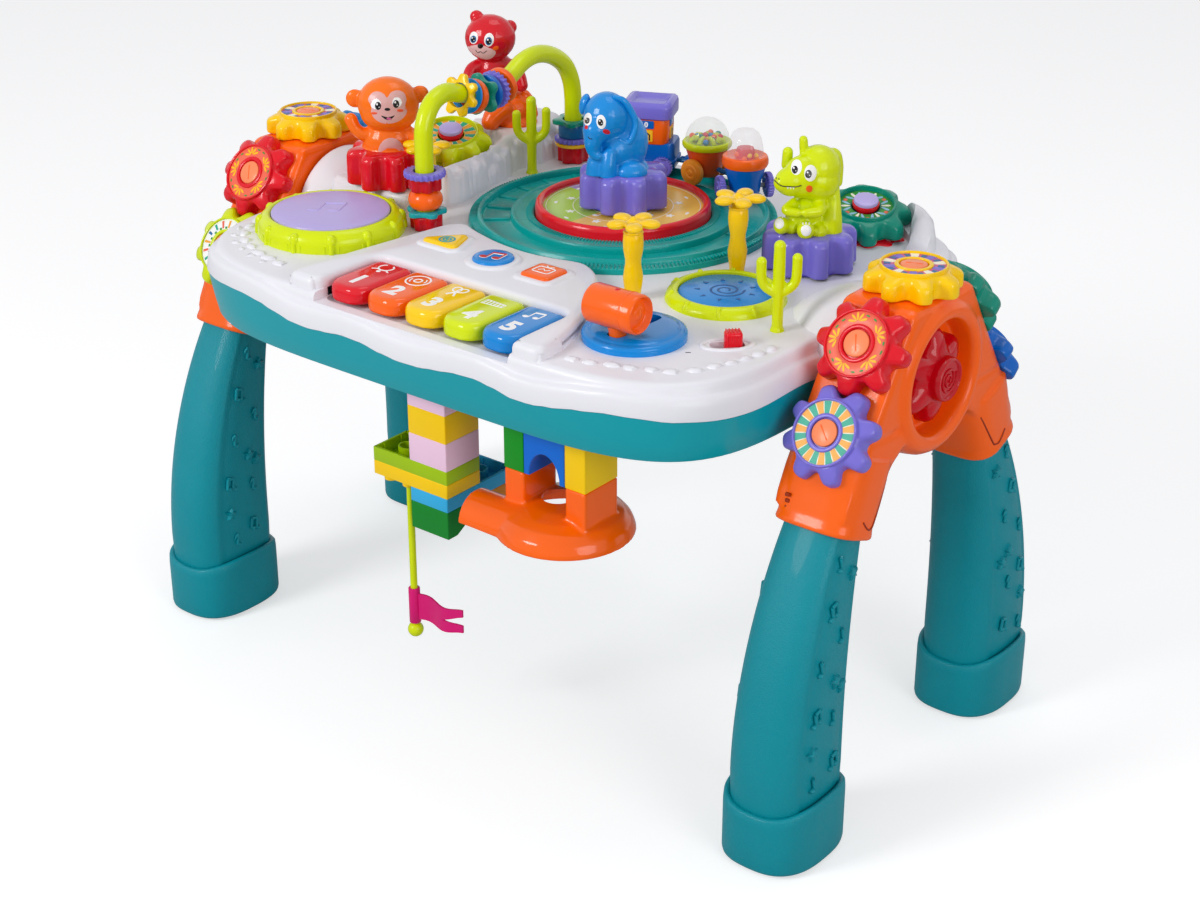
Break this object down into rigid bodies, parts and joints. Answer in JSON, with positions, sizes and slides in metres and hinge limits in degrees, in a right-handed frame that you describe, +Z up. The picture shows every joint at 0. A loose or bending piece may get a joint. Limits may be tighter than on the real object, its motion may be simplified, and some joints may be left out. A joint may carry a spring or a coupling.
{
  "type": "activity table",
  "caption": "Toddler musical activity table: turn-over deck with keys, drum, gears, train track and bead arch, hung between two gear brackets on four splayed legs.",
  "frame": {"origin": "on the floor below the middle of the deck", "axes": "+X along the deck towards the right bracket, +Y away from the keyboard, +Z up"},
  "size_m": [0.566, 0.36, 0.4105],
  "materials": {
    "orange_plastic": "moulded, satin gloss",
    "teal_plastic": "moulded, satin gloss",
    "rubber_pad": "matt anti-slip pad",
    "red_plastic": "moulded, glossy",
    "yellow_plastic": "moulded, glossy",
    "lime_plastic": "moulded, glossy",
    "blue_plastic": "moulded, glossy",
    "purple_plastic": "moulded, glossy",
    "lavender_plastic": "soft matt skin",
    "white_plastic": "moulded, satin gloss",
    "clear_plastic": "clear window over printed sectors",
    "brick_plastic": "several colours of glossy building block",
    "slide_plastic": "glossy, several colours",
    "flag_plastic": "glossy",
    "train_plastic": "glossy, several colours and clear domes",
    "board": "solder-masked board",
    "speaker_frame": "coated frame and cone",
    "cell_jacket": "plain wrapped cells",
    "screw_steel": "plated"
  },
  "bodies": {
    "stand": {"bracket_left": "orange_plastic", "bracket_right": "orange_plastic", "leg_front_left": "teal_plastic", "leg_front_right": "teal_plastic", "leg_rear_left": "teal_plastic", "leg_rear_right": "teal_plastic", "foot_pads": "rubber_pad", "gear_caps": "orange_plastic"},
    "deck": {"deck_top": "white_plastic", "deck_bottom": "teal_plastic", "deck_pivots": "white_plastic", "pad_surrounds": "lime_plastic", "hammer_base": "blue_plastic", "garden_posts": "lime_plastic", "bead_arch": "lime_plastic", "track": "teal_plastic", "turntable_ring": "red_plastic", "turntable_window": "clear_plastic", "circuit_board": "board", "speaker": "speaker_frame", "battery_cells": "cell_jacket", "battery_door": "teal_plastic", "deck_screws": "screw_steel", "gear_pegs": "red_plastic", "bear": "orange_plastic", "building_bricks": "brick_plastic", "slide_bridge": "slide_plastic"},
    "knob_left": {"knob_left": "red_plastic"},
    "knob_right": {"knob_right": "red_plastic"},
    "gear_left_top": {"gear_left_top": "yellow_plastic"},
    "gear_left_front_upper": {"gear_left_front_upper": "red_plastic"},
    "gear_left_front_lower": {"gear_left_front_lower": "lime_plastic"},
    "gear_left_rear_upper": {"gear_left_rear_upper": "blue_plastic"},
    "gear_left_rear_lower": {"gear_left_rear_lower": "purple_plastic"},
    "gear_right_top": {"gear_right_top": "yellow_plastic"},
    "gear_right_front_upper": {"gear_right_front_upper": "red_plastic"},
    "gear_right_front_lower": {"gear_right_front_lower": "purple_plastic"},
    "gear_right_rear_upper": {"gear_right_rear_upper": "teal_plastic"},
    "gear_right_rear_lower": {"gear_right_rear_lower": "blue_plastic"},
    "flag": {"flag": "flag_plastic"},
    "key_1": {"key_1": "red_plastic"},
    "key_2": {"key_2": "orange_plastic"},
    "key_3": {"key_3": "yellow_plastic"},
    "key_4": {"key_4": "lime_plastic"},
    "key_5": {"key_5": "blue_plastic"},
    "button_triangle": {"button_triangle": "yellow_plastic"},
    "button_round": {"button_round": "blue_plastic"},
    "button_square": {"button_square": "orange_plastic"},
    "drum_skin": {"drum_skin": "lavender_plastic"},
    "spiral_pad": {"spiral_pad": "blue_plastic"},
    "hammer": {"hammer": "orange_plastic"},
    "power_switch": {"power_switch": "red_plastic"},
    "beads_front": {"beads_front": "purple_plastic"},
    "beads_top": {"beads_top": "yellow_plastic"},
    "beads_rear": {"beads_rear": "blue_plastic"},
    "elephant": {"elephant": "blue_plastic"},
    "monkey": {"monkey": "red_plastic"},
    "crocodile": {"crocodile": "lime_plastic"},
    "gear_deck_teal": {"gear_deck_teal": "teal_plastic"},
    "gear_deck_lime": {"gear_deck_lime": "lime_plastic"},
    "train": {"train": "train_plastic"}
  },
  "joints": [
    {"name": "deck_flip", "type": "hinge", "parent": "stand", "child": "deck", "pos_m": [0, 0, 0.282], "axis": [1, 0, 0], "range_deg": [0, 180]},
    {"name": "knob_left_spin", "type": "hinge", "parent": "stand", "child": "knob_left", "pos_m": [-0.252, 0, 0.282], "axis": [1, 0, 0], "continuous": true},
    {"name": "gear_left_top_spin", "type": "hinge", "parent": "stand", "child": "gear_left_top", "pos_m": [-0.252, 0, 0.3335], "axis": [0, 0, 1], "continuous": true},
    {"name": "gear_left_front_upper_spin", "type": "hinge", "parent": "stand", "child": "gear_left_front_upper", "pos_m": [-0.252, -0.0478, 0.3095], "axis": [0, -0.8387, 0.5446], "continuous": true},
    {"name": "gear_left_front_lower_spin", "type": "hinge", "parent": "stand", "child": "gear_left_front_lower", "pos_m": [-0.252, -0.07759, 0.26362], "axis": [0, -0.8387, 0.5446], "continuous": true},
    {"name": "gear_left_rear_upper_spin", "type": "hinge", "parent": "stand", "child": "gear_left_rear_upper", "pos_m": [-0.252, 0.0478, 0.3095], "axis": [0, 0.8387, 0.5446], "continuous": true},
    {"name": "gear_left_rear_lower_spin", "type": "hinge", "parent": "stand", "child": "gear_left_rear_lower", "pos_m": [-0.252, 0.07759, 0.26362], "axis": [0, 0.8387, 0.5446], "continuous": true},
    {"name": "knob_right_spin", "type": "hinge", "parent": "stand", "child": "knob_right", "pos_m": [0.252, 0, 0.282], "axis": [1, 0, 0], "continuous": true},
    {"name": "gear_right_top_spin", "type": "hinge", "parent": "stand", "child": "gear_right_top", "pos_m": [0.252, 0, 0.3335], "axis": [0, 0, 1], "continuous": true},
    {"name": "gear_right_front_upper_spin", "type": "hinge", "parent": "stand", "child": "gear_right_front_upper", "pos_m": [0.252, -0.0478, 0.3095], "axis": [0, -0.8387, 0.5446], "continuous": true},
    {"name": "gear_right_front_lower_spin", "type": "hinge", "parent": "stand", "child": "gear_right_front_lower", "pos_m": [0.252, -0.07759, 0.26362], "axis": [0, -0.8387, 0.5446], "continuous": true},
    {"name": "gear_right_rear_upper_spin", "type": "hinge", "parent": "stand", "child": "gear_right_rear_upper", "pos_m": [0.252, 0.0478, 0.3095], "axis": [0, 0.8387, 0.5446], "continuous": true},
    {"name": "gear_right_rear_lower_spin", "type": "hinge", "parent": "stand", "child": "gear_right_rear_lower", "pos_m": [0.252, 0.07759, 0.26362], "axis": [0, 0.8387, 0.5446], "continuous": true},
    {"name": "key_1_press", "type": "hinge", "parent": "deck", "child": "key_1", "pos_m": [-0.0562, -0.1164, 0.30725], "axis": [1, 0, 0], "range_deg": [0, 3], "stiffness_Nm_per_rad": 0.5, "springref_deg": -5.73},
    {"name": "key_2_press", "type": "hinge", "parent": "deck", "child": "key_2", "pos_m": [-0.0248, -0.1164, 0.30725], "axis": [1, 0, 0], "range_deg": [0, 3], "stiffness_Nm_per_rad": 0.5, "springref_deg": -5.73},
    {"name": "key_3_press", "type": "hinge", "parent": "deck", "child": "key_3", "pos_m": [0.0066, -0.1164, 0.30725], "axis": [1, 0, 0], "range_deg": [0, 3], "stiffness_Nm_per_rad": 0.5, "springref_deg": -5.73},
    {"name": "key_4_press", "type": "hinge", "parent": "deck", "child": "key_4", "pos_m": [0.038, -0.1164, 0.30725], "axis": [1, 0, 0], "range_deg": [0, 3], "stiffness_Nm_per_rad": 0.5, "springref_deg": -5.73},
    {"name": "key_5_press", "type": "hinge", "parent": "deck", "child": "key_5", "pos_m": [0.0694, -0.1164, 0.30725], "axis": [1, 0, 0], "range_deg": [0, 3], "stiffness_Nm_per_rad": 0.5, "springref_deg": -5.73},
    {"name": "button_triangle_press", "type": "slide", "parent": "deck", "child": "button_triangle", "axis": [0, 0, -1], "range_m": [0, 0.0025], "stiffness_N_per_m": 300, "springref_m": -0.003},
    {"name": "button_round_press", "type": "slide", "parent": "deck", "child": "button_round", "axis": [0, 0, -1], "range_m": [0, 0.0025], "stiffness_N_per_m": 300, "springref_m": -0.003},
    {"name": "button_square_press", "type": "slide", "parent": "deck", "child": "button_square", "axis": [0, 0, -1], "range_m": [0, 0.0025], "stiffness_N_per_m": 300, "springref_m": -0.003},
    {"name": "drum_press", "type": "slide", "parent": "deck", "child": "drum_skin", "axis": [0, 0, -1], "range_m": [0, 0.0012], "stiffness_N_per_m": 800, "springref_m": -0.002},
    {"name": "spiral_press", "type": "slide", "parent": "deck", "child": "spiral_pad", "axis": [0, 0, -1], "range_m": [0, 0.0012], "stiffness_N_per_m": 800, "springref_m": -0.002},
    {"name": "hammer_slide", "type": "slide", "parent": "deck", "child": "hammer", "axis": [0, 1, 0], "range_m": [0, 0.03]},
    {"name": "power_slide", "type": "slide", "parent": "deck", "child": "power_switch", "axis": [-0.7071, -0.7071, 0], "range_m": [0, 0.006]},
    {"name": "beads_front_slide", "type": "slide", "parent": "deck", "child": "beads_front", "axis": [0, 0, 1], "range_m": [0, 0.021]},
    {"name": "beads_rear_slide", "type": "slide", "parent": "deck", "child": "beads_rear", "axis": [0, 0, 1], "range_m": [0, 0.012]},
    {"name": "beads_top_slide", "type": "slide", "parent": "deck", "child": "beads_top", "axis": [-0.0854, 0.9963, 0], "range_m": [-0.002, 0.002]},
    {"name": "elephant_spin", "type": "hinge", "parent": "deck", "child": "elephant", "pos_m": [-0.005, 0.0515, 0.33], "axis": [0, 0, 1], "continuous": true},
    {"name": "monkey_spin", "type": "hinge", "parent": "deck", "child": "monkey", "pos_m": [-0.1626, -0.009, 0.33], "axis": [0, 0, 1], "continuous": true},
    {"name": "crocodile_spin", "type": "hinge", "parent": "deck", "child": "crocodile", "pos_m": [0.142, 0.057, 0.32], "axis": [0, 0, 1], "continuous": true},
    {"name": "gear_deck_teal_spin", "type": "hinge", "parent": "deck", "child": "gear_deck_teal", "pos_m": [0.137, 0.131, 0.314], "axis": [0.1611, -0.2026, 0.9659], "continuous": true},
    {"name": "gear_deck_lime_spin", "type": "hinge", "parent": "deck", "child": "gear_deck_lime", "pos_m": [-0.165, 0.056, 0.3234], "axis": [0.1611, -0.2026, 0.9659], "continuous": true},
    {"name": "train_run", "type": "hinge", "parent": "deck", "child": "train", "pos_m": [-0.005, 0.0515, 0.32], "axis": [0, 0, 1], "continuous": true},
    {"name": "flag_turn", "type": "hinge", "parent": "deck", "child": "flag", "pos_m": [-0.025, -0.146, 0.09], "axis": [0, 0, 1], "continuous": true}
  ],
  "couplings": [
    {"joint": "gear_left_front_lower_spin", "follows": "gear_left_front_upper_spin", "ratio": -1},
    {"joint": "gear_left_rear_lower_spin", "follows": "gear_left_rear_upper_spin", "ratio": -1},
    {"joint": "gear_right_front_lower_spin", "follows": "gear_right_front_upper_spin", "ratio": -1},
    {"joint": "gear_right_rear_lower_spin", "follows": "gear_right_rear_upper_spin", "ratio": -1}
  ]
}
